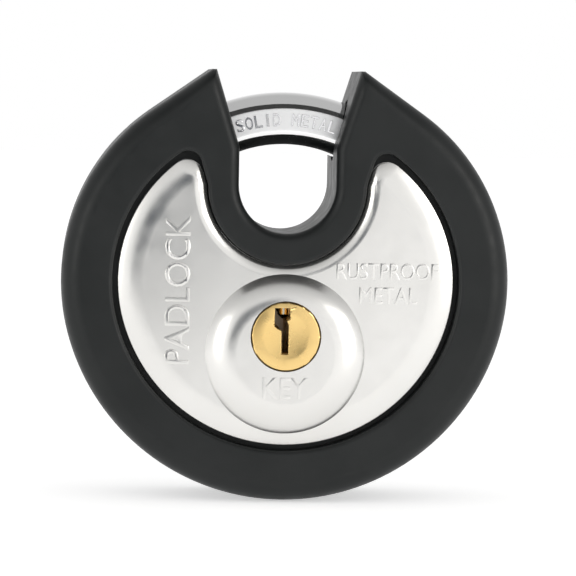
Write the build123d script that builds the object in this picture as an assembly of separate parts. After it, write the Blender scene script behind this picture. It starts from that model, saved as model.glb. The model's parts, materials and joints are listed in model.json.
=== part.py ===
"""A 70 mm disc padlock in a rubber bumper jacket.

Two pressed steel shells close round a cast core. A round bar shackle, bent to an arc, runs in a
ring-shaped channel in the core and bridges a notch in the rim. A pin tumbler cylinder sits below the
middle of the disc. Its plug carries a crank, whose pin works in the slot of an arm riveted to the
shackle, so turning the key draws the shackle round into the body.

The shapes are drawn about the middle of the disc, with the face towards -Y. "Depth" counts from the
seam between the shells towards the face, so the back has negative depth. A "clock angle" counts
clockwise from the top, as seen from the front. PLACE then moves the lock so that the origin is the
point it hangs from: the underside of the shackle at the middle of its span.
"""

import math
import os

from build123d import *

# Driving dimensions, in millimetres and degrees
BODY_R = 35.0  # outside of the steel shells
WALL = 1.2  # sheet of the shells
LEDGE = 8.8  # depth of the shells under the jacket's lip
PLATEAU = 12.0  # depth of the bare steel face
PLATEAU_INSET = 10.5  # from the jacket's outside to the edge of the bare face
BOSS_TOP = 14.6  # depth of the raised round around the plug
BOSS_R = 14.5
BOSS_FLAT_R = 9.5
BOSS_Z = -13.9
GAP = 0.1  # play between the cast core and the shells

NOTCH_Z = 16.7  # middle of the notch's round bottom
NOTCH_HALF = 8.8  # half the clear width between the rubber walls
RUBBER = 2.0  # rubber on the notch's walls
FLARE_Z = 23.5  # height above which the notch widens
FLARE = 17.0

JACKET_R = 40.9
JACKET_SIDE_R = 37.5  # tighter arc that leads up to the horns
JACKET_SIDE_FROM = -15.0  # angle above the horizontal where that arc begins
JACKET_SIDE_TO = 55.0  # angle where it runs out into a straight shoulder
JACKET_DEPTH = 13.0
JACKET_ROUND = 3.5  # rounding of the rim, front and back
JACKET_EDGE = 0.6  # bevel along the notch
LIP_INSET = 9.5  # from the jacket's outside to the inner edge of its lip
LIP_HALF = 15.0  # half the width across the lip at the notch
GROOVE_FLOOR = 10.6  # depth of the step that closes the gap between the lip and the bare face
JACKET_PLAY = 0.05

SHACKLE_R = 28.5  # arc of the bar's centreline
BAR_R = 5.0
TOE = -33.0  # clock angle of the free end, in the left horn
TAIL = 165.0
CHANNEL_PLAY = 0.12
FLAT_DEPTH = 4.35  # stamped flat on the face of the bar
FLAT_SPAN = 23.0

PLUG_Z = -10.6
PLUG_R = 5.8
PLUG_HEAD_R = 6.2
PLUG_FACE = 14.8
PLUG_SHOULDER = 10.9
PLUG_BACK = -3.0
BORE_PLAY = 0.04
HOUSING_R = 8.0
BIBLE_HALF = 3.0
BIBLE_FRONT = 7.3
BIBLE_TOP = 3.4
COVER_T = 0.5
DRILL_PLATE = (10.85, 12.05)  # depths of its two faces
DRILL_PLATE_R = 12.2

PIN_DEPTHS = (5.9, 3.4, 0.9, -1.6)
KEY_PIN_LENGTHS = (2.9, 2.0, 2.6, 1.7)
PIN_R = 1.1
PIN_BEVEL = 0.5
CHAMBER_R = 1.15
CHAMBER_FLOOR = 2.0  # above the plug's axis
SHEAR_PLAY = 0.06  # from the plug's surface to each pin at the shear line
DRIVER_LENGTH = 3.2
SPRING_WIRE_R = 0.15
SPRING_R = 0.85
SPRING_TURNS = 7

CRANK_DISC_R = 9.6
CRANK_DISC = (-4.3, -3.02)  # depths of its two faces
CRANK_THROW = 7.5
CRANK_SWING = 70.0  # the crank starts this far before the lowest point and ends as far after it
CRANK_PIN_R = 1.8
CRANK_SCREW_X = 3.8
ARM = (-6.4, -4.4)  # depths of its two faces
ARM_INNER_R = 11.0
ARM_OUTER_R = 31.0
ARM_SLOT_PLAY = 0.2
POCKET_BACK = -6.9
RIVET_SPOTS = ((-18.5, -7.5), (18.5, -7.5), (-19.3, 8.2), (19.3, 8.2))
RIVET_R = 1.5

# Worked out from the above
SEAT_NOTCH = NOTCH_HALF + RUBBER
ARM_ANGLE = math.degrees(
    math.atan2(
        CRANK_THROW * math.sin(math.radians(CRANK_SWING)),
        -PLUG_Z + CRANK_THROW * math.cos(math.radians(CRANK_SWING)),
    )
)
CRANK_X = CRANK_THROW * math.sin(math.radians(CRANK_SWING))
CRANK_Z = PLUG_Z - CRANK_THROW * math.cos(math.radians(CRANK_SWING))
CRANK_NEAR = math.hypot(CRANK_X, CRANK_Z)
CRANK_FAR = CRANK_THROW - PLUG_Z
PLACE = Location((0, 0, BAR_R - SHACKLE_R))


# Helpers -------------------------------------------------------------------------------------------


def slab(face, near, far):
    """A face drawn in X and Z, made solid between two depths."""
    return extrude(Plane.XZ.offset(near) * face, far - near)


def drum(radius, near, far, x=0.0, z=0.0):
    return slab(Pos(x, z) * Circle(radius), near, far)


def ring_bar(section, start, end):
    """A section drawn in X (out from the middle) and Y, carried round from one clock angle to another."""
    return Rot(Y=start - 90) * revolve(section, Axis.Y, end - start)


def round_bar(radius, start, end):
    return ring_bar(Pos(SHACKLE_R, 0) * Circle(radius), start, end)


def mirror_back(shape):
    return mirror(shape, about=Plane.XZ)


def at_depth(shape, depth):
    """The edges of a shape that lie in one plane of depth."""
    return shape.edges().filter_by_position(Axis.Y, -depth - 0.01, -depth + 0.01)


def notch(half, bend=FLARE_Z):
    """The notch's outline: a round bottom, straight sides, then a flare that runs out past the rim."""
    top = 2 * BODY_R
    wide = half + (top - bend) * math.tan(math.radians(FLARE))
    right = [(half, NOTCH_Z - 0.1), (half, bend), (wide, top)]
    left = [(-x, z) for x, z in reversed(right)]
    return make_face(Polyline(right + left, close=True)) + Pos(0, NOTCH_Z) * Circle(half)


def rim_outline(inset, leave=JACKET_SIDE_TO):
    """The jacket's outside: a circle below, a tighter arc up each side, and a straight shoulder to each horn."""
    lead = math.radians(JACKET_SIDE_FROM)
    last = math.radians(leave)
    shift = JACKET_R - JACKET_SIDE_R
    middle_x = shift * math.cos(lead)
    middle_z = shift * math.sin(lead)
    radius = JACKET_SIDE_R - inset

    def on_side(angle):
        return middle_x + radius * math.cos(angle), middle_z + radius * math.sin(angle)

    low = on_side(lead)
    high = on_side(last)
    apex = (0, high[1] + high[0] / math.tan(last))
    right = ThreePointArc(low, on_side((lead + last) / 2), high) + Line(high, apex)
    under = ThreePointArc((-low[0], low[1]), (0, inset - JACKET_R), low)
    return make_face(right + mirror(right, about=Plane.YZ) + under)


def round_horns(face, radius):
    """Rounds the two top corners of an outline."""
    tips = face.vertices().sort_by(Axis.Y)[-2:]
    return fillet(tips, radius)


# Shells and jacket ---------------------------------------------------------------------------------


def boss(inset):
    """The raised round on the face, turned about its own axis: a flat top with a domed edge."""
    rise = BOSS_TOP - PLATEAU
    run = BOSS_R - BOSS_FLAT_R
    dome = (run**2 + rise**2) / (2 * rise)
    slope = math.asin(run / dome) / 2
    top = BOSS_TOP - inset
    radius = dome - inset
    foot = BOSS_FLAT_R + math.sqrt(radius**2 - (PLATEAU - inset - (BOSS_TOP - dome)) ** 2)
    middle = (BOSS_FLAT_R + radius * math.sin(slope), BOSS_TOP - dome + radius * math.cos(slope))
    base = PLATEAU - inset - 1
    edge = ThreePointArc((foot, PLATEAU - inset), middle, (BOSS_FLAT_R, top))
    rest = Polyline((BOSS_FLAT_R, top), (0, top), (0, base), (foot, base), (foot, PLATEAU - inset))
    profile = Plane(origin=(0, 0, BOSS_Z), x_dir=(1, 0, 0), z_dir=(0, 0, -1)) * make_face(edge + rest)
    return revolve(profile, Axis((0, 0, BOSS_Z), (0, 1, 0)))


def plateau_outline(inset):
    outline = rim_outline(PLATEAU_INSET + inset, 75) - notch(LIP_HALF + 0.2 + inset, NOTCH_Z)
    return round_horns(outline, 3.0 - inset / 2)


def half_body(inset):
    """One shell's outside as a solid, or with an inset its inside."""
    outline = round_horns(Circle(BODY_R - inset) - notch(SEAT_NOTCH + inset), 2.0)
    base = slab(outline, 0, LEDGE - inset)
    base = fillet(at_depth(base, LEDGE - inset), 1.6)
    face = slab(plateau_outline(inset), 0, PLATEAU - inset)
    face = fillet(at_depth(face, PLATEAU - inset), 2.2 - inset / 2)
    return base + face


def shackle_ports(radius):
    return round_bar(radius, -36, 36)


def front_shell():
    shell = half_body(0) + boss(0) - half_body(WALL) - boss(WALL)
    shell -= shackle_ports(BAR_R + 0.2)
    hole = drum(PLUG_HEAD_R + 0.2, 0, BOSS_TOP + 1, z=PLUG_Z)
    return shell - hole


def rear_shell():
    shell = half_body(0) - half_body(WALL) - shackle_ports(BAR_R + 0.2)
    return mirror_back(shell)


def jacket():
    solid = slab(rim_outline(0), -JACKET_DEPTH, JACKET_DEPTH)
    faces = at_depth(solid, JACKET_DEPTH) + at_depth(solid, -JACKET_DEPTH)
    solid = fillet(faces, JACKET_ROUND) - slab(notch(NOTCH_HALF), -PLATEAU - 2, PLATEAU + 2)
    faces = at_depth(solid, JACKET_DEPTH) + at_depth(solid, -JACKET_DEPTH)
    solid = chamfer(faces.filter_by(lambda edge: abs(edge.center().X) < 12.5 and edge.center().Z > 0), JACKET_EDGE)
    seat_outline = round_horns(Circle(BODY_R + JACKET_PLAY) - notch(SEAT_NOTCH - JACKET_PLAY), 2.0)
    seat = slab(seat_outline, -LEDGE - JACKET_PLAY, LEDGE + JACKET_PLAY)
    lip = round_horns(rim_outline(LIP_INSET, 75) - notch(LIP_HALF, NOTCH_Z), 2.0)
    window = slab(plateau_outline(-JACKET_PLAY), -GROOVE_FLOOR, GROOVE_FLOOR)
    window += slab(lip, GROOVE_FLOOR, PLATEAU + 2) + slab(lip, -PLATEAU - 2, -GROOVE_FLOOR)
    return solid - seat - window - shackle_ports(BAR_R + 0.8)


# Core ----------------------------------------------------------------------------------------------


def bible_outline(grow):
    """The upright block over the plug that holds the pin stacks."""
    low = PLUG_Z
    high = BIBLE_TOP + grow
    return Pos(0, (low + high) / 2) * Rectangle(2 * (BIBLE_HALF + grow), high - low)


def housing_pocket():
    """Room in both halves of the core for the cylinder, open to the notch over the spring cover."""
    pocket = drum(HOUSING_R + 0.1, PLUG_BACK - 0.02, PLATEAU, z=PLUG_Z)
    pocket += slab(bible_outline(0.1), PLUG_BACK - 0.02, LEDGE)
    return pocket + slab(Pos(0, BIBLE_TOP) * Rectangle(2 * BIBLE_HALF + 0.2, 4), PLUG_BACK - 0.02, LEDGE)


def channel():
    """The shackle's run in the core, open to the shells on its outer side."""
    reach = BAR_R + CHANNEL_PLAY
    section = Pos(SHACKLE_R, 0) * Circle(reach)
    section += Pos(SHACKLE_R + reach / 2, 0) * Rectangle(reach + 1, 2 * reach)
    swing = 2 * ARM_ANGLE
    return ring_bar(section, TOE - 1.5, TAIL + swing + 1.5)


def core_half():
    return half_body(WALL + GAP) - channel()


def arm_outline(grow):
    """The arm, drawn as it would hang straight down from the middle of the disc."""
    inner, outer = ARM_INNER_R - grow, ARM_OUTER_R + grow
    narrow, wide = 4.5 + grow, 5.0 + grow
    corners = [(-narrow, -inner), (narrow, -inner), (wide, -outer), (-wide, -outer)]
    plate = make_face(Polyline(corners, close=True))
    return fillet(plate.vertices(), 1.5)


def arm_pocket():
    """Room for the arm to swing: its outline at both ends of its travel and the sector between."""
    ends = [Rot(Z=angle) * arm_outline(0.35) for angle in (ARM_ANGLE, -ARM_ANGLE)]
    ring = Circle(ARM_OUTER_R + 0.35) - Circle(ARM_INNER_R - 0.35)
    far = 2 * BODY_R
    spread = far * math.tan(math.radians(ARM_ANGLE))
    sector = ring & make_face(Polyline([(0, 0), (spread, -far), (-spread, -far)], close=True))
    return slab(sector + ends[0] + ends[1], POCKET_BACK, 0.5)


def core_front():
    body = core_half() - housing_pocket()
    for x, z in RIVET_SPOTS:
        body -= drum(RIVET_R, -1, PLATEAU, x, z)
        body -= drum(RIVET_R + 0.9, PLATEAU - WALL - GAP - 1.0, PLATEAU, x, z)
    return body


def core_rear():
    body = mirror_back(core_half()) - arm_pocket() - housing_pocket()
    body -= drum(CRANK_DISC_R + 0.3, CRANK_DISC[0] - 0.1, 1, z=PLUG_Z)
    for x, z in RIVET_SPOTS:
        body -= drum(RIVET_R, -PLATEAU, 1, x, z)
        body -= drum(RIVET_R + 0.9, -PLATEAU, -(PLATEAU - WALL - GAP - 1.0), x, z)
    return body


def core_rivets():
    reach = PLATEAU - WALL - GAP - 0.1
    rivets = []
    for x, z in RIVET_SPOTS:
        shank = drum(RIVET_R, -reach, reach, x, z)
        heads = drum(RIVET_R + 0.9, reach - 0.9, reach, x, z) + drum(RIVET_R + 0.9, -reach, 0.9 - reach, x, z)
        rivets.append(shank + heads)
    return Part() + rivets


def drill_plate():
    return drum(DRILL_PLATE_R, *DRILL_PLATE, z=BOSS_Z) - drum(PLUG_HEAD_R + 0.2, 0, PLATEAU + 1, z=PLUG_Z)


# Shackle -------------------------------------------------------------------------------------------


def arm_rivet_spots():
    """Where the two rivets go through the arm, as it would hang straight down."""
    return ((-2.6, -SHACKLE_R), (2.6, -SHACKLE_R))


def shackle():
    bar = round_bar(BAR_R, TOE, TAIL)
    bar = chamfer(bar.edges().filter_by(GeomType.CIRCLE).group_by(Axis.Z)[-1], 0.8)
    stamped = Pos(SHACKLE_R, -FLAT_DEPTH - 0.5) * Rectangle(2 * BAR_R, 1.0)
    bar -= ring_bar(stamped, -FLAT_SPAN, FLAT_SPAN)
    seat = Pos(SHACKLE_R, -ARM[1] + 0.5) * Rectangle(2 * BAR_R, 1.0)
    bar -= ring_bar(seat, 180 - ARM_ANGLE - 11.5, TAIL + 1)
    for spot in arm_rivet_spots():
        bar -= Rot(Y=-ARM_ANGLE) * drum(1.0, ARM[1] - 0.5, ARM[1] + 2.6, *spot)
    return bar


def drive_arm():
    middle = (CRANK_NEAR + CRANK_FAR) / 2
    travel = CRANK_FAR - CRANK_NEAR + 0.6
    half = CRANK_PIN_R + ARM_SLOT_PLAY
    slot = Pos(0, -middle) * Rot(Z=90) * SlotOverall(travel + 2 * half, 2 * half)
    plate = slab(arm_outline(0) - slot, *ARM)
    for spot in arm_rivet_spots():
        plate -= drum(1.0, ARM[0] - 1, ARM[1] + 1, *spot)
    return Rot(Y=-ARM_ANGLE) * plate


def arm_rivets():
    rivets = []
    for spot in arm_rivet_spots():
        rivet = drum(1.0, ARM[0], ARM[1] + 2.5, *spot) + drum(1.6, ARM[0] - 0.35, ARM[0], *spot)
        rivets.append(Rot(Y=-ARM_ANGLE) * rivet)
    return Part() + rivets


# Cylinder ------------------------------------------------------------------------------------------


def upright(radius, low, high, depth):
    """A round bar that stands along Z over the plug's axis, between two heights above that axis."""
    return Pos(0, -depth, PLUG_Z + (low + high) / 2) * Cylinder(radius, high - low)


def cylinder_housing():
    body = drum(HOUSING_R, PLUG_BACK + 0.05, PLUG_SHOULDER - 0.1, z=PLUG_Z)
    body += slab(bible_outline(0), PLUG_BACK + 0.05, BIBLE_FRONT)
    body -= drum(PLUG_R + BORE_PLAY, PLUG_BACK - 1, PLUG_SHOULDER + 1, z=PLUG_Z)
    for depth in PIN_DEPTHS:
        body -= upright(CHAMBER_R, 0, BIBLE_TOP - PLUG_Z + 1, depth)
    return body


def spring_cover():
    length = BIBLE_FRONT - PLUG_BACK - 0.05
    middle = (BIBLE_FRONT + PLUG_BACK + 0.05) / 2
    return Pos(0, -middle, BIBLE_TOP + COVER_T / 2) * Box(2 * BIBLE_HALF - 0.4, length, COVER_T)


def keyway():
    """The key's slot, drawn about the plug's axis: a narrow foot, a step to the left and a wide head."""
    corners = [(-0.8, -3.0), (0.45, -3.0), (0.45, 2.1), (0.1, 2.8), (0.7, 3.3), (0.7, 5.2)]
    corners += [(-2.1, 5.2), (-2.1, 1.8), (-0.8, 1.0)]
    return make_face(Polyline(corners, close=True))


def plug():
    body = drum(PLUG_R, PLUG_BACK, PLUG_SHOULDER) + drum(PLUG_HEAD_R, PLUG_SHOULDER, PLUG_FACE)
    body = chamfer(at_depth(body, PLUG_FACE), 0.25)
    body -= slab(keyway(), PLUG_BACK - 1, PLUG_FACE + 1)
    for x in (-CRANK_SCREW_X, CRANK_SCREW_X):
        body -= drum(0.8, PLUG_BACK - 1, PLUG_BACK + 2.6, x)
    body = Pos(0, 0, PLUG_Z) * body
    for depth in PIN_DEPTHS:
        body -= upright(CHAMBER_R, CHAMBER_FLOOR, PLUG_R + 1, depth)
    return body


def key_pin(index):
    """The lower pin of a stack, with its top at the shear line and a pointed foot in the keyway."""
    top = PLUG_R - SHEAR_PLAY
    pin = upright(PIN_R, top - KEY_PIN_LENGTHS[index], top, PIN_DEPTHS[index])
    pin = chamfer(pin.edges().group_by(Axis.Z)[-1], PIN_BEVEL)
    return chamfer(pin.edges().group_by(Axis.Z)[0], 0.7)


def driver_pin(index):
    low = PLUG_R + BORE_PLAY + SHEAR_PLAY
    pin = upright(PIN_R, low, low + DRIVER_LENGTH, PIN_DEPTHS[index])
    return chamfer(pin.edges().filter_by(GeomType.CIRCLE), PIN_BEVEL / 2)


def pin_spring(index):
    low = PLUG_R + BORE_PLAY + SHEAR_PLAY + DRIVER_LENGTH + SPRING_WIRE_R + 0.02
    high = BIBLE_TOP - PLUG_Z - SPRING_WIRE_R - 0.02
    coil = Helix((high - low) / SPRING_TURNS, high - low, SPRING_R)
    start = Plane(origin=coil @ 0, z_dir=coil % 0)
    wire = sweep(start * Circle(SPRING_WIRE_R), path=coil)
    return Pos(0, -PIN_DEPTHS[index], PLUG_Z + low) * wire


def crank_disc():
    disc = drum(CRANK_DISC_R, *CRANK_DISC, z=PLUG_Z)
    disc -= drum(CRANK_PIN_R, CRANK_DISC[0] - 1, CRANK_DISC[1] + 1, CRANK_X, CRANK_Z)
    for x in (-CRANK_SCREW_X, CRANK_SCREW_X):
        disc -= crank_screw(x)
    return disc


def crank_pin():
    pin = drum(CRANK_PIN_R, ARM[0] - 0.1, CRANK_DISC[1], CRANK_X, CRANK_Z)
    return chamfer(at_depth(pin, ARM[0] - 0.1), 0.3)


def crank_screw(x):
    """A countersunk screw through the disc into the back of the plug."""
    low = CRANK_DISC[0]
    head = Plane(origin=(x, -low, PLUG_Z), z_dir=(0, -1, 0)) * Cone(
        1.5, 0.8, 0.8, align=(Align.CENTER, Align.CENTER, Align.MIN)
    )
    return head + drum(0.8, low, PLUG_BACK + 2.5, x, PLUG_Z)


def crank_screws():
    screws = []
    for x in (-CRANK_SCREW_X, CRANK_SCREW_X):
        slot = Pos(x, -CRANK_DISC[0], PLUG_Z) * Box(0.4, 0.6, 4)
        screws.append(crank_screw(x) - slot)
    return Part() + screws


def main():
    parts = {
        "front_shell": front_shell(),
        "rear_shell": rear_shell(),
        "bumper_jacket": jacket(),
        "core_front": core_front(),
        "core_rear": core_rear(),
        "core_rivets": core_rivets(),
        "anti_drill_plate": drill_plate(),
        "shackle": shackle(),
        "drive_arm": drive_arm(),
        "arm_rivets": arm_rivets(),
        "cylinder_housing": cylinder_housing(),
        "spring_cover": spring_cover(),
        "plug": plug(),
        "crank_disc": crank_disc(),
        "crank_pin": crank_pin(),
        "crank_screws": crank_screws(),
    }
    for index in range(len(PIN_DEPTHS)):
        parts[f"key_pin_{index + 1}"] = key_pin(index)
        parts[f"driver_pin_{index + 1}"] = driver_pin(index)
        parts[f"pin_spring_{index + 1}"] = pin_spring(index)
    os.makedirs("parts", exist_ok=True)
    for name, shape in parts.items():
        export_step(PLACE * shape, f"parts/{name}.step")


main()
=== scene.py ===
"""A disc padlock in a rubber jacket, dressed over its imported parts."""

import bpy
import json
import math
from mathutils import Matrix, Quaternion, Vector

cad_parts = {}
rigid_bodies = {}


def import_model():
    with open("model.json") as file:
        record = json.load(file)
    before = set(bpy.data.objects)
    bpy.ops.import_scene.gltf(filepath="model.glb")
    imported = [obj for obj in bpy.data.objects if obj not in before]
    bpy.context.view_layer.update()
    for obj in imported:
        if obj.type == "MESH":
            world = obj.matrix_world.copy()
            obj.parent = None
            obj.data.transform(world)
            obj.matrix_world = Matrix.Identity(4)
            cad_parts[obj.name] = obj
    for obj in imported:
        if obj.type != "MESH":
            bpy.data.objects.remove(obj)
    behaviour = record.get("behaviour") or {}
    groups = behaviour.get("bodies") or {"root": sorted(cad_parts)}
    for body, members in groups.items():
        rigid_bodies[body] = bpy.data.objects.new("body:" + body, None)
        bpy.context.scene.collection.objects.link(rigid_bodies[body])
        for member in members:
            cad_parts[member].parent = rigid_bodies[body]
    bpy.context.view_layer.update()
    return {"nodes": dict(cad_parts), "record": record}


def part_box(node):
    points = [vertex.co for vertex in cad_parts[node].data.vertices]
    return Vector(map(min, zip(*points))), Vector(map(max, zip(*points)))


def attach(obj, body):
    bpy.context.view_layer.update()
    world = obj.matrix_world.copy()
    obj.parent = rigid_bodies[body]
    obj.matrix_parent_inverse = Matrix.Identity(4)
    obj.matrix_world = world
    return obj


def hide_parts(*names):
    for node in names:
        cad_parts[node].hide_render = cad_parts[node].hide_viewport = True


for leftover in list(bpy.data.objects):
    bpy.data.objects.remove(leftover, do_unlink=True)

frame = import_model()
nodes = frame["nodes"]

MM = 0.001


# Sizes read from the parts ---------------------------------------------------------------------


def size_of(node):
    low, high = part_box(node)
    return Vector(low) / MM, Vector(high) / MM


joints = {joint["name"]: joint for joint in frame["record"]["behaviour"]["joints"]}
MIDDLE = Vector(joints["shackle_turn"]["pos_m"]) / MM
PLUG = Vector(joints["plug_turn"]["pos_m"]) / MM
jacket_low = size_of("bumper_jacket")[0]
shell_low, shell_high = size_of("front_shell")
back_high = size_of("rear_shell")[1]
bar_high = size_of("shackle")[1]

PLATE_RISE = 0.3  # how far the bare face stands out past the plain shell
RIM_R = MIDDLE.z - jacket_low.z
JACKET_DEEP = -jacket_low.y
SHELL_R = shell_high.x
FACE = back_high.y + PLATE_RISE
BOSS_FACE = -shell_low.y
BAR_R = bar_high.y
BAR_ARC = -MIDDLE.z + BAR_R  # radius of the bar's centreline

# Sizes in millimetres, with heights and widths about the middle of the disc
SIDE_R = 37.5  # tighter arc of the rim that leads up to each horn
SIDE_FROM = -15.0  # angle above the horizontal where that arc begins
SIDE_TO = 55.0  # angle where it runs out into a straight shoulder
TIP_Z = 37.5  # height of the blunt horn tips
NOTCH_Z = 16.7  # middle of the notch's round floor
NOTCH_HALF = 8.8
BEND_Z = 23.5  # height above which the notch widens
FLARE = math.tan(math.radians(17))
WALL_GAP = 2.0  # from the notch's rubber wall to the steel behind it
LEDGE = 8.8  # depth of the steel under the lip
MOULD_DEEP = 0.35  # half the height of the line left by the mould round the jacket
MOULD_SHARE = 0.9965  # how far the jacket draws in at that line
LIP = 9.3  # from the rim to the lip's inner edge
LIP_HALF = 14.4
LIP_HORN = 2.5
GROOVE = 9.2  # depth of the step between the lip and the plate
SEAT_PLAY = 0.05
WINDOW_PLAY = 0.8  # room round the bar in the notch's walls
PLATE = 10.4  # from the rim to the plate's edge
PLATE_HALF = 14.7
PLATE_EDGE = 11.5  # depth where the plate's shoulder begins
PLATE_HORN = 3.0
SHEET = 1.1
SHOULDER = 4.5  # how far in the shoulder reaches the flat
NOTCH_SHARE = 0.5  # how much of that run it takes beside the notch
HORN_SHARE = 0.62  # how quickly the plate's horns sharpen along that run
HORN_LEAST = 0.4
BOSS_Z = -13.9
BOSS_R = 14.5
BOSS_FLAT_R = 8.8
BOSS_SKIRT = 2.5  # how far the raised round reaches in behind the face
BOSS_SEAT_R = 7.0  # hole in the plate behind the raised round
PLUG_HOLE_R = 6.4
DISH_R = 45.0
DISH_DEEP = 0.2
BAR_TOE = -33.0  # clock angles of the bar's two ends
BAR_TAIL = 165.0
BAR_FLAT = 4.6  # depth of the flat along the bar's front
FLAT_SPAN = 23.0
LETTER_STEP = 3.45  # degrees along the bar from one letter to the next
LEVEL = 0.003  # vertices this near to a depth lie on it


# Working habits --------------------------------------------------------------------------------


def at(x, z, y=0.0):
    """A place given in millimetres about the middle of the disc."""
    return Vector((x, y, z)) * MM + Vector((0, 0, MIDDLE.z)) * MM


def clear():
    if bpy.context.object and bpy.context.object.mode != "OBJECT":
        bpy.ops.object.mode_set(mode="OBJECT")
    bpy.ops.object.select_all(action="DESELECT")


def take(piece):
    clear()
    piece.select_set(True)
    bpy.context.view_layer.objects.active = piece


def edit(piece, kind="VERT"):
    take(piece)
    bpy.ops.object.mode_set(mode="EDIT")
    bpy.ops.mesh.select_mode(type=kind)
    bpy.ops.mesh.select_all(action="DESELECT")


def pick(piece, kind, wanted):
    """Selects the vertices, edges or faces whose middle, in millimetres about the disc, is wanted."""
    edit(piece, kind)
    bpy.ops.object.mode_set(mode="OBJECT")
    mesh = piece.data
    home = Vector((0, 0, MIDDLE.z))
    place = piece.matrix_world

    def spot(points):
        return sum((place @ mesh.vertices[i].co for i in points), Vector()) / len(points) / MM - home

    if kind == "VERT":
        for vertex in mesh.vertices:
            vertex.select = wanted(spot([vertex.index]))
    elif kind == "EDGE":
        for edge in mesh.edges:
            edge.select = wanted(spot(edge.vertices))
    else:
        for face in mesh.polygons:
            face.select = wanted(spot(face.vertices))
    bpy.ops.object.mode_set(mode="EDIT")


def modify(piece, kind, **settings):
    take(piece)
    modifier = piece.modifiers.new(kind.title(), kind)
    for key, value in settings.items():
        setattr(modifier, key, value)
    bpy.ops.object.modifier_apply(modifier=modifier.name)


def settle(piece):
    """Puts the piece's place in its mesh and leaves its object at the origin."""
    take(piece)
    bpy.ops.object.transform_apply(location=True, rotation=True, scale=True)


def outward(piece):
    edit(piece)
    bpy.ops.mesh.select_all(action="SELECT")
    bpy.ops.mesh.remove_doubles(threshold=0.002 * MM)
    bpy.ops.mesh.normals_make_consistent(inside=False)
    bpy.ops.object.mode_set(mode="OBJECT")


def smooth(piece, degrees=35):
    take(piece)
    bpy.ops.object.shade_smooth_by_angle(angle=math.radians(degrees))


def cut(piece, cutter, how="DIFFERENCE"):
    modify(piece, "BOOLEAN", object=cutter, operation=how, solver="EXACT")
    bpy.data.objects.remove(cutter, do_unlink=True)


# Drawing outlines: one point swept and pulled along the right half, then joined up ------------------


def point(x, z, y):
    """A single point in the piece being edited, to draw from."""
    bpy.ops.mesh.select_all(action="DESELECT")
    bpy.ops.mesh.primitive_plane_add(size=0.2 * MM, location=at(x, z, y))
    bpy.ops.mesh.merge(type="CENTER")


def sweep(x, z, y, degrees, steps):
    """Carries the last point round a centre, towards the top on the right."""
    bpy.ops.mesh.spin(steps=steps, angle=math.radians(degrees), center=at(x, z, y), axis=(0, 1, 0))


def pull(x, z, steps=1):
    """Carries the last point along a straight line."""
    for _ in range(steps):
        bpy.ops.mesh.extrude_region_move(TRANSFORM_OT_translate={"value": Vector((x, 0, z)) * MM / steps})


def side_centre():
    shift = RIM_R - SIDE_R
    return shift * math.cos(math.radians(SIDE_FROM)), shift * math.sin(math.radians(SIDE_FROM))


def slope_run(slope, fall):
    """How far out the straight run to the horn's tip lies at a fall below the tip."""
    return fall / slope


def draw_rim(y):
    """The jacket's outside, from the lowest point up to the horn, and down the notch to its floor."""
    cx, cz = side_centre()
    angle = math.radians(SIDE_TO)
    high_x = cx + SIDE_R * math.cos(angle)
    high_z = cz + SIDE_R * math.sin(angle)
    slope = 1 / math.tan(angle)
    tip_z = (high_z + slope * (high_x - NOTCH_HALF + FLARE * BEND_Z)) / (1 + slope * FLARE)
    tip_x = NOTCH_HALF + FLARE * (tip_z - BEND_Z)
    point(0, -RIM_R, y)
    sweep(0, 0, y, 90 + SIDE_FROM, 34)
    sweep(cx, cz, y, SIDE_TO - SIDE_FROM, 30)
    blunt = tip_z - TIP_Z
    pull(tip_x + slope_run(slope, blunt) - high_x, TIP_Z - high_z, 5)
    pull(-slope_run(slope, blunt) - FLARE * blunt, 0, 1)
    pull(NOTCH_HALF - tip_x + FLARE * blunt, BEND_Z - TIP_Z, 8)
    pull(0, NOTCH_Z - BEND_Z, 4)
    sweep(0, NOTCH_Z, y, -90, 18)


def draw_seat(y, radius, half):
    """The rim of the steel disc under the jacket, point for point beside the other outlines."""
    low, high = 20.0, 40.0
    for _ in range(40):
        tip_z = (low + high) / 2
        tip_x = half + FLARE * (tip_z - BEND_Z)
        if math.hypot(tip_x, tip_z) < radius:
            low = tip_z
        else:
            high = tip_z
    point(0, -radius, y)
    sweep(0, 0, y, 90 + math.degrees(math.atan2(tip_z, tip_x)), 70)
    pull(half - tip_x, BEND_Z - tip_z, 8)
    pull(0, NOTCH_Z - BEND_Z, 4)
    sweep(0, NOTCH_Z, y, -90, 18)


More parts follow.
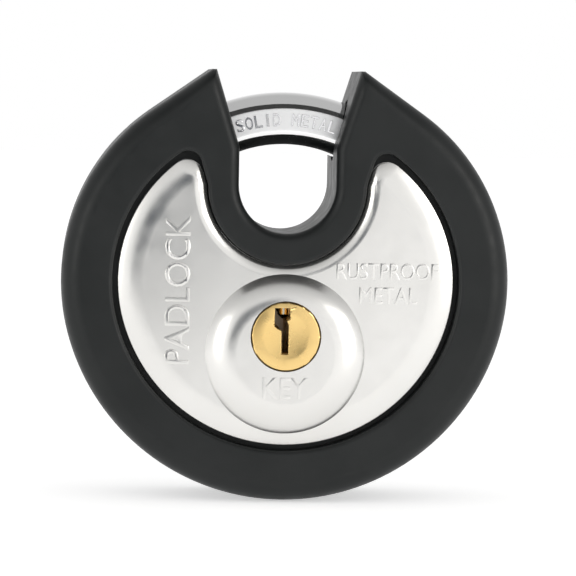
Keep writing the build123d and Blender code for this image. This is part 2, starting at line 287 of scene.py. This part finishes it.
def draw_window(y, inset, half, horn):
    """The edge of the bare face, from the lowest point round the rounded horn to the notch's floor."""
    cx, cz = side_centre()
    radius = SIDE_R - inset
    lean = math.atan(FLARE)
    start_x = half + horn / math.cos(lean)
    ahead = (start_x - cx) * math.sin(lean) + (NOTCH_Z - cz) * math.cos(lean)
    off = (start_x - cx) ** 2 + (NOTCH_Z - cz) ** 2 - (radius - horn) ** 2
    along = -ahead + math.sqrt(max(ahead * ahead - off, 0))
    point(0, inset - RIM_R, y)
    sweep(0, 0, y, 90 + SIDE_FROM, 34)
    if along > 0.5:
        horn_x = start_x + along * math.sin(lean)
        horn_z = NOTCH_Z + along * math.cos(lean)
        lead = math.degrees(math.atan2(horn_z - cz, horn_x - cx))
        sweep(cx, cz, y, lead - SIDE_FROM, 30)
        sweep(horn_x, horn_z, y, 180 - math.degrees(lean) - lead, 14)
        foot_x = horn_x - horn * math.cos(lean)
        foot_z = horn_z + horn * math.sin(lean)
        pull(half - foot_x, NOTCH_Z - foot_z, 4)
        sweep(0, NOTCH_Z, y, -90, 18)
        return
    apart = math.hypot(cx, cz - NOTCH_Z)
    reach = ((half + horn) ** 2 - (radius - horn) ** 2 + apart * apart) / (2 * apart)
    wide = math.sqrt((half + horn) ** 2 - reach * reach)
    horn_x = reach * cx / apart + wide * (NOTCH_Z - cz) / apart
    horn_z = NOTCH_Z + reach * (cz - NOTCH_Z) / apart + wide * cx / apart
    lead = math.degrees(math.atan2(horn_z - cz, horn_x - cx))
    back = math.degrees(math.atan2(NOTCH_Z - horn_z, -horn_x)) % 360
    sweep(cx, cz, y, lead - SIDE_FROM, 30)
    sweep(horn_x, horn_z, y, back - lead, 14)
    sweep(0, NOTCH_Z, y, -90 - math.degrees(math.atan2(horn_z - NOTCH_Z, horn_x)), 22)


def start(name):
    clear()
    bpy.ops.mesh.primitive_plane_add(size=0.2 * MM, location=(0, 0, 0))
    piece = bpy.context.object
    piece.name = name
    bpy.ops.object.mode_set(mode="EDIT")
    bpy.ops.mesh.select_mode(type="VERT")
    bpy.ops.mesh.delete(type="VERT")
    return piece


def deepen(depth, level=False):
    """Pulls the outline just drawn, or only the level it has reached, along the lock's depth."""
    if not level:
        bpy.ops.mesh.select_linked()
    bpy.ops.mesh.extrude_region_move(TRANSFORM_OT_translate={"value": (0, depth * MM, 0)})


def bridge(piece, y, far=None):
    """Joins the two outlines that lie at one depth, or at two."""
    depths = (y, y if far is None else far)
    pick(piece, "EDGE", lambda p: min(abs(p.y - depth) for depth in depths) < LEVEL)
    bpy.ops.mesh.bridge_edge_loops()
    bpy.ops.object.mode_set(mode="OBJECT")


def both_sides(piece, front_to_back=False):
    modify(piece, "MIRROR", use_axis=(True, front_to_back, False), use_clip=True, merge_threshold=0.01 * MM)
    outward(piece)


# The jacket ------------------------------------------------------------------------------------


def make_jacket():
    piece = start("rubber_jacket")
    y = -JACKET_DEEP
    draw_rim(y)
    deepen(JACKET_DEEP - MOULD_DEEP)
    deepen(MOULD_DEEP, level=True)
    bpy.ops.transform.resize(value=(MOULD_SHARE, 1, MOULD_SHARE), center_override=at(0, 0))
    draw_window(y, LIP, LIP_HALF, LIP_HORN)
    deepen(JACKET_DEEP - GROOVE)
    bridge(piece, y)
    edit(piece)
    draw_window(-GROOVE, PLATE - SEAT_PLAY, PLATE_HALF - SEAT_PLAY, PLATE_HORN)
    deepen(GROOVE - LEDGE)
    bridge(piece, -GROOVE)
    edit(piece)
    draw_seat(-LEDGE, SHELL_R + SEAT_PLAY, NOTCH_HALF + WALL_GAP - SEAT_PLAY)
    deepen(LEDGE)
    bridge(piece, -LEDGE)
    both_sides(piece, front_to_back=True)
    return piece


def add_windows(piece):
    """The two round windows in the notch's walls that the shackle passes through."""
    clear()
    bpy.ops.mesh.primitive_torus_add(
        location=at(0, 0), rotation=(math.radians(90), 0, 0), major_radius=BAR_ARC * MM,
        minor_radius=(BAR_R + WINDOW_PLAY) * MM, major_segments=160, minor_segments=48)
    ring = bpy.context.object
    settle(ring)
    pick(ring, "VERT", lambda p: p.z < 18)
    bpy.ops.mesh.delete(type="VERT")
    edit(ring)
    bpy.ops.mesh.select_non_manifold()
    bpy.ops.mesh.edge_face_add()
    outward(ring)
    cut(piece, ring)


def side_gap(p, inset=0.0):
    """How far inside the jacket's outside line, drawn with an inset, a point lies."""
    cx, cz = side_centre()
    x = abs(p.x)
    if math.degrees(math.atan2(p.z, x)) < SIDE_FROM:
        return RIM_R - inset - math.hypot(x, p.z)
    lead = min(math.atan2(p.z - cz, x - cx), math.radians(SIDE_TO))
    return SIDE_R - inset - (x - cx) * math.cos(lead) - (p.z - cz) * math.sin(lead)


def notch_gap(p, half):
    """How far outside the notch, drawn with a given half width, a point lies."""
    if p.z < NOTCH_Z:
        return math.hypot(p.x, p.z - NOTCH_Z) - half
    return abs(p.x) - half - FLARE * max(p.z - BEND_Z, 0)


def round_edges(piece, rules, steps=6, sharp=60):
    """Rounds the sharp edges that pass a test, each to its own radius, in one go so that they mitre."""
    widest = max(radius for _, radius in rules)
    edit(piece, "EDGE")
    bpy.ops.mesh.edges_select_sharp(sharpness=math.radians(sharp))
    bpy.ops.object.mode_set(mode="OBJECT")
    mesh = piece.data
    home = Vector((0, 0, MIDDLE.z))
    weights = mesh.attributes.new("bevel_weight_edge", "FLOAT", "EDGE")
    for edge in mesh.edges:
        ends = [piece.matrix_world @ mesh.vertices[i].co for i in edge.vertices]
        spot = (ends[0] + ends[1]) / 2 / MM - home
        weight = 0.0
        for wanted, radius in rules:
            if edge.select and wanted(spot):
                weight = radius / widest
        weights.data[edge.index].value = weight
    modify(
        piece, "BEVEL", width=widest * MM, segments=steps, limit_method="WEIGHT", use_clamp_overlap=False,
        miter_outer="MITER_SHARP")
    spent = piece.data.attributes.get("bevel_weight_edge")
    if spent:
        piece.data.attributes.remove(spent)


def finish_piece(piece, body, material, replaced=(), angle=35):
    settle(piece)
    smooth(piece, angle)
    modify(piece, "WEIGHTED_NORMAL", keep_sharp=True)
    piece.data.materials.clear()
    piece.data.materials.append(material)
    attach(piece, body)
    if replaced:
        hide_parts(*replaced)
    return piece


# Half shells -------------------------------------------------------------------------------------


def make_shell(name, side, hole):
    """One pressed half: the bare face, its rounded shoulder, the ledge under the lip and the rim."""
    piece = start(name)
    drop = FACE - PLATE_EDGE
    bend = (SHOULDER * SHOULDER + drop * drop) / (2 * drop)
    turn = math.asin(SHOULDER / bend)
    steps = 9
    rings = []
    for step in range(steps + 1):
        lean = turn * (1 - step / steps)
        rings.append((SHOULDER - bend * math.sin(lean), FACE - bend * (1 - math.cos(lean))))
    draw_window(side * PLATE_EDGE, PLATE, PLATE_HALF, PLATE_HORN)
    deepen(side * (LEDGE - PLATE_EDGE))
    for (_, before), (run, depth) in zip(rings, rings[1:]):
        horn = max(PLATE_HORN - HORN_SHARE * run, HORN_LEAST)
        draw_window(side * depth, PLATE + run, PLATE_HALF + NOTCH_SHARE * run, horn)
        bridge(piece, side * before, side * depth)
        edit(piece)
    draw_seat(side * LEDGE, SHELL_R, NOTCH_HALF + WALL_GAP)
    deepen(-side * LEDGE)
    bridge(piece, side * LEDGE)
    both_sides(piece)
    middle = PLUG.z - MIDDLE.z
    pick(piece, "EDGE", lambda p: abs(p.y - side * FACE) < LEVEL)
    if hole:
        bpy.ops.mesh.primitive_circle_add(
            vertices=96, radius=BOSS_SEAT_R * MM, location=at(0, middle, side * FACE),
            rotation=(math.radians(90), 0, 0))
        bpy.ops.object.mode_set(mode="OBJECT")
        pick(piece, "EDGE", lambda p: abs(p.y - side * FACE) < LEVEL)
    bpy.ops.mesh.fill(use_beauty=True)
    bpy.ops.object.mode_set(mode="OBJECT")
    outward(piece)
    return piece


def make_boss():
    """The raised round, turned about its own middle, with the plug's hole through it."""
    clear()
    rise = BOSS_FACE - FACE
    run = BOSS_R - BOSS_FLAT_R
    dome = (run * run + rise * rise) / (2 * rise)
    piece = start("boss")
    point(BOSS_R, BOSS_Z, -FACE + BOSS_SKIRT)
    bpy.ops.mesh.extrude_region_move(TRANSFORM_OT_translate={"value": (0, -BOSS_SKIRT * MM, 0)})
    turn = math.degrees(math.asin(run / dome))
    bpy.ops.mesh.spin(
        steps=16, angle=math.radians(turn), center=at(BOSS_FLAT_R, BOSS_Z, dome - BOSS_FACE), axis=(0, 0, 1))
    bpy.ops.mesh.select_all(action="SELECT")
    bpy.ops.mesh.spin(steps=144, angle=math.radians(360), center=at(0, BOSS_Z), axis=(0, 1, 0))
    bpy.ops.mesh.select_all(action="SELECT")
    bpy.ops.mesh.remove_doubles(threshold=0.005 * MM)
    bpy.ops.mesh.select_all(action="DESELECT")
    bpy.ops.object.mode_set(mode="OBJECT")
    pick(piece, "EDGE", lambda p: abs(p.y + BOSS_FACE) < 0.02)
    bpy.ops.mesh.edge_face_add()
    bpy.ops.object.mode_set(mode="OBJECT")
    pick(piece, "EDGE", lambda p: abs(p.y + FACE - BOSS_SKIRT) < 0.02)
    bpy.ops.mesh.edge_face_add()
    bpy.ops.object.mode_set(mode="OBJECT")
    outward(piece)
    clear()
    bpy.ops.mesh.primitive_cylinder_add(
        vertices=128, radius=PLUG_HOLE_R * MM, depth=12 * MM,
        location=at(0, PLUG.z - MIDDLE.z, -BOSS_FACE), rotation=(math.radians(90), 0, 0))
    cut(piece, bpy.context.object)
    outward(piece)
    return piece


# Shackle -----------------------------------------------------------------------------------------


def make_bar():
    """The bent bar, carried round from its toe in the left horn, with a flat for the words."""
    clear()
    lean = math.radians(BAR_TOE)
    bpy.ops.mesh.primitive_circle_add(
        vertices=72, radius=BAR_R * MM, location=at(BAR_ARC * math.sin(lean), BAR_ARC * math.cos(lean)),
        rotation=(0, math.radians(90 + BAR_TOE), 0))
    piece = bpy.context.object
    piece.name = "shackle_bar"
    edit(piece)
    bpy.ops.mesh.select_all(action="SELECT")
    bpy.ops.mesh.spin(steps=132, angle=math.radians(BAR_TOE - BAR_TAIL), center=at(0, 0), axis=(0, 1, 0))
    bpy.ops.mesh.select_all(action="DESELECT")
    bpy.ops.mesh.select_non_manifold()
    bpy.ops.mesh.fill_holes(sides=0)
    bpy.ops.object.mode_set(mode="OBJECT")
    settle(piece)
    outward(piece)
    clear()
    half = BAR_ARC * math.sin(math.radians(FLAT_SPAN))
    bpy.ops.mesh.primitive_cube_add(
        size=1, location=at(0, BAR_ARC, -BAR_FLAT - 2), scale=(2 * half * MM, 4 * MM, 16 * MM))
    cut(piece, bpy.context.object)

    def by_flat(p):
        """Whether an edge bounds the flat, and not one of the bar's ends."""
        return p.z > 0 and abs(p.x) < half + 0.1

    round_edges(piece, [(by_flat, 0.12), (lambda p: not by_flat(p), 0.7)], 3, 20)
    return piece


def letters(name, words, width, height, x, z, y, turn=0.0, proud=0.3):
    """Plain capitals pressed up out of the steel, drawn to a width and a height and laid at y."""
    clear()
    bpy.ops.object.text_add(location=(0, 0, 0))
    text = bpy.context.object
    text.name = name
    text.data.body = words
    text.data.align_x = "CENTER"
    text.data.align_y = "CENTER"
    text.data.extrude = 0.03
    text.data.bevel_depth = 0.014
    text.data.bevel_resolution = 1
    text.data.resolution_u = 5
    bpy.ops.object.convert(target="MESH")
    piece = bpy.context.object
    corners = [Vector(corner) for corner in piece.bound_box]
    size = corners[6] - corners[0]
    middle = (corners[6] + corners[0]) / 2
    edit(piece)
    bpy.ops.mesh.select_all(action="SELECT")
    bpy.ops.transform.translate(value=-middle)
    bpy.ops.object.mode_set(mode="OBJECT")
    piece.scale = (width / size.x * MM, height / size.y * MM, 2 * proud / size.z * MM)
    piece.rotation_euler = (math.radians(90), math.radians(turn), 0)
    piece.location = at(x, z, y)
    settle(piece)
    outward(piece)
    return piece


def join(name, pieces):
    clear()
    for piece in pieces:
        piece.select_set(True)
    bpy.context.view_layer.objects.active = pieces[0]
    bpy.ops.object.join()
    pieces[0].name = name
    return pieces[0]


def bar_words():
    """The words along the bar's flat, each letter turned to its own place on the arc."""
    words = "SOLID METAL"
    made = []
    for place, letter in enumerate(words):
        if letter == " ":
            continue
        angle = (place - (len(words) - 1) / 2) * LETTER_STEP
        x = BAR_ARC * math.sin(math.radians(angle))
        z = BAR_ARC * math.cos(math.radians(angle))
        width = 0.4 if letter == "I" else 1.4
        made.append(letters("letter", letter, width, 2.3, x, z, -BAR_FLAT, angle, 0.25))
    return join("bar_words", made)


# Plug --------------------------------------------------------------------------------------------


def make_plug():
    """The keyed plug with a shallow dish turned in its face."""
    clear()
    source = nodes["plug"]
    piece = source.copy()
    piece.data = source.data.copy()
    piece.name = "dished_plug"
    bpy.context.scene.collection.objects.link(piece)
    outward(piece)
    face = size_of("plug")[0].y
    clear()
    bpy.ops.mesh.primitive_uv_sphere_add(
        segments=64, ring_count=288, radius=DISH_R * MM, rotation=(math.radians(90), 0, 0),
        location=at(0, PLUG.z - MIDDLE.z, face - DISH_R + DISH_DEEP))
    cut(piece, bpy.context.object)
    outward(piece)
    return piece


# Materials -------------------------------------------------------------------------------------


def new_material(name):
    material = bpy.data.materials.new(name)
    material.use_nodes = True
    tree = material.node_tree
    return material, tree, tree.nodes["Principled BSDF"]


def node(tree, kind, **settings):
    made = tree.nodes.new(kind)
    for key, value in settings.items():
        if key in made.inputs:
            made.inputs[key].default_value = value
        else:
            setattr(made, key, value)
    return made


def noise(tree, scale, detail=3.0, rough=0.5, stretch=(1, 1, 1)):
    place = node(tree, "ShaderNodeTexCoord")
    mapping = node(tree, "ShaderNodeMapping")
    mapping.inputs["Scale"].default_value = stretch
    texture = node(tree, "ShaderNodeTexNoise", Scale=scale, Detail=detail, Roughness=rough)
    tree.links.new(place.outputs["Object"], mapping.inputs["Vector"])
    tree.links.new(mapping.outputs["Vector"], texture.inputs["Vector"])
    return texture.outputs["Fac"]


def ramp(tree, source, low, high, start=0.35, end=0.65):
    made = node(tree, "ShaderNodeMapRange")
    made.inputs["From Min"].default_value = start
    made.inputs["From Max"].default_value = end
    made.inputs["To Min"].default_value = low
    made.inputs["To Max"].default_value = high
    tree.links.new(source, made.inputs["Value"])
    return made.outputs["Result"]


def tint(tree, source, first, second):
    mix = node(tree, "ShaderNodeMix", data_type="RGBA")
    mix.inputs["A"].default_value = (*first, 1)
    mix.inputs["B"].default_value = (*second, 1)
    tree.links.new(source, mix.inputs["Factor"])
    return mix.outputs["Result"]


def bump(tree, shader, source, strength, distance):
    made = node(tree, "ShaderNodeBump", Strength=strength, Distance=distance * MM)
    tree.links.new(source, made.inputs["Height"])
    tree.links.new(made.outputs["Normal"], shader.inputs["Normal"])


def metal(name, dark, light, smoothest, roughest, grain_scale=900.0, grain=0.04, stretch=(1, 1, 1)):
    """A metal with a slow drift of tone, patches of wear in its gloss and a fine grain."""
    material, tree, shader = new_material(name)
    shader.inputs["Metallic"].default_value = 1.0
    drift = noise(tree, 60.0, 2.0)
    tree.links.new(tint(tree, ramp(tree, drift, 0, 1), dark, light), shader.inputs["Base Color"])
    tree.links.new(ramp(tree, noise(tree, 210.0, 4.0), smoothest, roughest), shader.inputs["Roughness"])
    bump(tree, shader, noise(tree, grain_scale, 3.0, 0.6, stretch), grain, 0.05)
    return material


def bar_chrome():
    """Bright chrome, dulled on the ground flat that carries the stamped words."""
    material = metal("bar_chrome", (0.90, 0.90, 0.90), (0.94, 0.94, 0.94), 0.05, 0.09, grain=0.02)
    tree = material.node_tree
    shader = tree.nodes["Principled BSDF"]
    place = node(tree, "ShaderNodeTexCoord")
    parts = node(tree, "ShaderNodeSeparateXYZ")
    tree.links.new(place.outputs["Object"], parts.inputs["Vector"])
    flat = ramp(tree, parts.outputs["Y"], 1.0, 0.0, -(BAR_FLAT - 0.03) * MM, -(BAR_FLAT - 0.09) * MM)
    mix = node(tree, "ShaderNodeMix", data_type="FLOAT")
    tree.links.new(flat, mix.inputs["Factor"])
    tree.links.new(shader.inputs["Roughness"].links[0].from_socket, mix.inputs["A"])
    mix.inputs["B"].default_value = 0.38
    tree.links.new(mix.outputs["Result"], shader.inputs["Roughness"])
    return material


def rubber_material():
    material, tree, shader = new_material("moulded_rubber")
    shader.inputs["Specular IOR Level"].default_value = 0.3
    drift = noise(tree, 90.0, 3.0)
    black = tint(tree, ramp(tree, drift, 0, 1), (0.008, 0.0095, 0.0095), (0.012, 0.0135, 0.0135))
    tree.links.new(black, shader.inputs["Base Color"])
    tree.links.new(ramp(tree, noise(tree, 400.0, 4.0), 0.36, 0.46), shader.inputs["Roughness"])
    bump(tree, shader, noise(tree, 1800.0, 3.0, 0.6), 0.08, 0.04)
    return material


stainless = metal("satin_stainless", (0.78, 0.77, 0.745), (0.82, 0.81, 0.785), 0.20, 0.26)
chrome = metal("polished_chrome", (0.80, 0.80, 0.81), (0.84, 0.84, 0.85), 0.05, 0.09, grain=0.02)
polished_brass = metal("polished_brass", (0.86, 0.60, 0.235), (0.92, 0.66, 0.28), 0.24, 0.32)
turned_brass = metal("turned_brass", (0.62, 0.44, 0.19), (0.70, 0.50, 0.23), 0.28, 0.38)
nickel = metal("nickel_plate", (0.60, 0.58, 0.54), (0.66, 0.64, 0.60), 0.12, 0.2)
wire = metal("spring_wire", (0.46, 0.45, 0.43), (0.54, 0.53, 0.51), 0.2, 0.3)
casting = metal("zinc_casting", (0.36, 0.37, 0.38), (0.44, 0.45, 0.46), 0.42, 0.55, 500.0, 0.2)
bright_bar = bar_chrome()
hardened = metal("hardened_steel", (0.20, 0.195, 0.19), (0.27, 0.26, 0.25), 0.3, 0.42)
rubber = rubber_material()

by_slot = {
    "stainless": stainless, "rubber": rubber, "chrome": chrome, "polished_brass": polished_brass,
    "turned_brass": turned_brass, "nickel": nickel, "spring_wire": wire, "zinc_casting": casting,
    "hardened_steel": hardened,
}
for part in frame["record"]["subparts"]:
    slots = nodes[part["node"]].data.materials
    slots.clear()
    slots.append(by_slot[part["material_slot"]])


# Making the pieces -----------------------------------------------------------------------------

jacket = make_jacket()
round_edges(jacket, [
    (lambda p: abs(p.y) > JACKET_DEEP - 0.1, 0.8),
    (lambda p: abs(p.y) > JACKET_DEEP - 0.1 and notch_gap(p, NOTCH_HALF) < 0.1, 1.8),
    (lambda p: abs(p.y) > JACKET_DEEP - 0.1 and side_gap(p) < 0.1, 3.8),
])
add_windows(jacket)
finish_piece(jacket, "lock_body", rubber, ["bumper_jacket"])

front = make_shell("front_plate", -1, True)
modify(front, "SOLIDIFY", thickness=SHEET * MM, offset=-1)
boss = make_boss()
finish_piece(boss, "lock_body", stainless)
finish_piece(front, "lock_body", stainless, ["front_shell"])

back = make_shell("back_plate", 1, False)
modify(back, "SOLIDIFY", thickness=SHEET * MM, offset=-1)
finish_piece(back, "lock_body", stainless, ["rear_shell"])

plug_piece = make_plug()
finish_piece(plug_piece, "plug", polished_brass, ["plug"])
bar = make_bar()
finish_piece(bar, "shackle", bright_bar, ["shackle"])
finish_piece(bar_words(), "shackle", chrome)
for word in (
        letters("left_word", "PADLOCK", 27.0, 4.6, -19.7, -2.5, -FACE, -90),
        letters("upper_word", "RUSTPROOF", 18.6, 3.1, 18.4, 1.3, -FACE, 0, 0.16),
        letters("lower_word", "METAL", 10.6, 3.1, 18.6, -3.1, -FACE, 0, 0.16),
        letters("key_word", "KEY", 8.2, 3.9, 0, -20.0, -BOSS_FACE, 0, 0.16)):
    finish_piece(word, "lock_body", stainless)


# Studio ----------------------------------------------------------------------------------------


def flat_white(name, shade, rough=0.9, glow=0.0):
    material, tree, shader = new_material(name)
    shader.inputs["Emission Color"].default_value = (1, 1, 1, 1)
    shader.inputs["Emission Strength"].default_value = glow
    shader.inputs["Base Color"].default_value = (*shade, 1)
    shader.inputs["Roughness"].default_value = rough
    return material


def make_studio():
    clear()
    bpy.ops.mesh.primitive_plane_add(size=6, location=(0, 0, jacket_low.z * MM - 0.0002))
    floor = bpy.context.object
    floor.name = "floor"
    floor.data.materials.append(flat_white("pale_floor", (0.9, 0.9, 0.9), glow=0.5))
    world = bpy.data.worlds.new("studio") if not bpy.context.scene.world else bpy.context.scene.world
    bpy.context.scene.world = world
    world.use_nodes = True
    tree = world.node_tree
    sky = tree.nodes["Background"]
    sky.inputs["Color"].default_value = (1, 1, 1, 1)
    aim = node(tree, "ShaderNodeTexCoord")
    parts = node(tree, "ShaderNodeSeparateXYZ")
    tree.links.new(aim.outputs["Generated"], parts.inputs["Vector"])
    tree.links.new(ramp(tree, parts.outputs["Z"], 1.0, 0.5, 0.1, 0.85), sky.inputs["Strength"])


def make_card(name, x, y, z, width, height, shade, lean=90):
    """A dark card beside the camera or over the lock, seen only as the steel mirrors it."""
    clear()
    bpy.ops.mesh.primitive_plane_add(size=1, location=(x, y, z), rotation=(math.radians(lean), 0, 0))
    card = bpy.context.object
    card.name = name
    card.scale = (width, height, 1)
    settle(card)
    card.data.materials.append(flat_white(name, shade))
    card.visible_camera = False
    card.visible_diffuse = False
    card.visible_shadow = False


def light(name, place, target, width, height, power, colour=(1, 1, 1)):
    clear()
    bpy.ops.object.light_add(type="AREA", location=place)
    lamp = bpy.context.object
    lamp.name = name
    lamp.data.shape = "RECTANGLE"
    lamp.data.size = width
    lamp.data.size_y = height
    lamp.data.energy = power
    lamp.data.color = colour
    lamp.rotation_euler = (Vector(target) - Vector(place)).to_track_quat("-Z", "Y").to_euler()


def make_camera():
    yaw, rise, roll = math.radians(3.6), math.radians(3.5), math.radians(1.0)
    away, seen_width, film = 0.6, 0.1044, 36
    target = at(0.35, -1.9, -FACE)
    toward = Vector((-math.sin(yaw) * math.cos(rise), -math.cos(yaw) * math.cos(rise), math.sin(rise)))
    eye = target + toward * away
    clear()
    bpy.ops.object.camera_add(location=eye)
    camera = bpy.context.object
    camera.name = "camera"
    aim = (target - eye).to_track_quat("-Z", "Y")
    camera.rotation_euler = (aim @ Quaternion((0, 0, 1), roll)).to_euler()
    camera.data.sensor_width = film
    camera.data.lens = film * away / seen_width
    camera.data.clip_start = 0.01
    camera.data.clip_end = 20
    bpy.context.scene.camera = camera


make_studio()
make_card("grey_card", -0.11, -0.64, 0.04, 0.28, 0.21, (0.05, 0.062, 0.08))
make_card("top_card", 0.0, -0.042, 0.05, 0.12, 0.045, (0.03, 0.03, 0.03), lean=0)
light("key", (0.75, -0.75, 0.12), (0, 0, 0), 0.5, 0.6, 2.6, (1.0, 0.98, 0.94))
light("fill", (-0.8, -0.75, 0.1), (0, 0, 0), 0.35, 0.5, 1.3, (1.0, 0.99, 0.95))
bpy.context.scene.view_settings.view_transform = "Standard"
make_camera()

bpy.context.view_layer.update()
